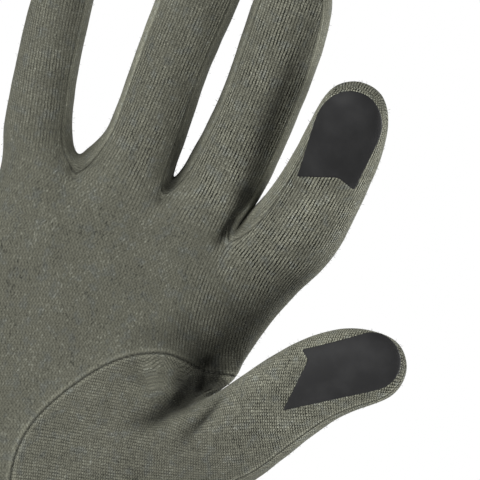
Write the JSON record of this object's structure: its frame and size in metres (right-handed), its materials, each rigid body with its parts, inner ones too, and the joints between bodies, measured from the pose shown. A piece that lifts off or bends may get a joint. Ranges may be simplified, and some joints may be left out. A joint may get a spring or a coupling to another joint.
{
  "type": "wool glove",
  "caption": "Thin right-hand glove of fine knitted wool in its worn form, sewn with finger gussets and a two-piece set-in thumb, with smooth notched touch pads on index finger and thumb.",
  "frame": {"origin": "centre of the cuff's mouth, where the wrist goes in", "axes": "+Z from the wrist to the fingertips, -Y out of the palm, +X to the thumb's side"},
  "size_m": [0.1278, 0.0803, 0.2244],
  "materials": {
    "wool_knit": "matte heathered olive-grey fine jersey knit",
    "touch_film": "smooth dark film with a soft sheen"
  },
  "bodies": {
    "root": {"palm_panel": "wool_knit", "back_panel": "wool_knit", "fourchette_ring_little": "wool_knit", "fourchette_middle_ring": "wool_knit", "fourchette_index_middle": "wool_knit", "thumb_front": "wool_knit", "thumb_back": "wool_knit", "cuff": "wool_knit", "touch_pad_index": "touch_film", "touch_pad_thumb": "touch_film"}
  },
  "joints": []
}
